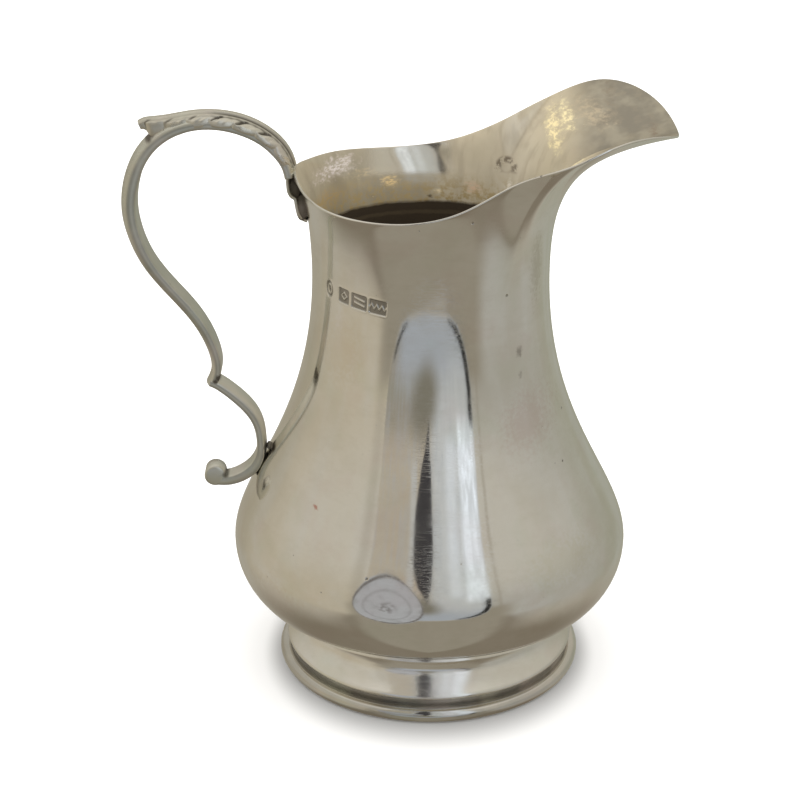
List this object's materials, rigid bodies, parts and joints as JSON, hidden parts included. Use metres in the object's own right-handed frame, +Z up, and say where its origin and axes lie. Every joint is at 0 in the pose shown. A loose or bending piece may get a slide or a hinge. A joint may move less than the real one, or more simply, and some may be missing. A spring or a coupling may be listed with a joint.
{
  "type": "cream jug",
  "caption": "Small footed silver cream jug: baluster body with a drawn pouring lip, spread foot and a leaf-capped double-scroll handle.",
  "frame": {"origin": "centre of the foot's underside, on the surface the jug stands on", "axes": "+Z up along the body's axis, +X from the handle towards the pouring lip, +Y to the left when looking along +X"},
  "size_m": [0.0917, 0.0686, 0.1007],
  "materials": {
    "body_silver": "polished sterling silver, lightly worn and warm with handling",
    "foot_silver": "polished sterling silver, darker in the groove above the base wire",
    "handle_silver": "cast sterling silver, softer polish, tarnish in the cut lines",
    "solder": "silver solder, filed and polished"
  },
  "bodies": {
    "root": {"body": "body_silver", "foot_collet": "foot_silver", "foot_rim_wire": "foot_silver", "foot_seam_solder": "solder", "handle_upper_scroll": "handle_silver", "handle_lower_scroll": "handle_silver", "handle_leaf_cap": "handle_silver", "handle_drop": "handle_silver", "handle_neck_solder": "solder", "handle_belly_solder": "solder"}
  },
  "joints": []
}
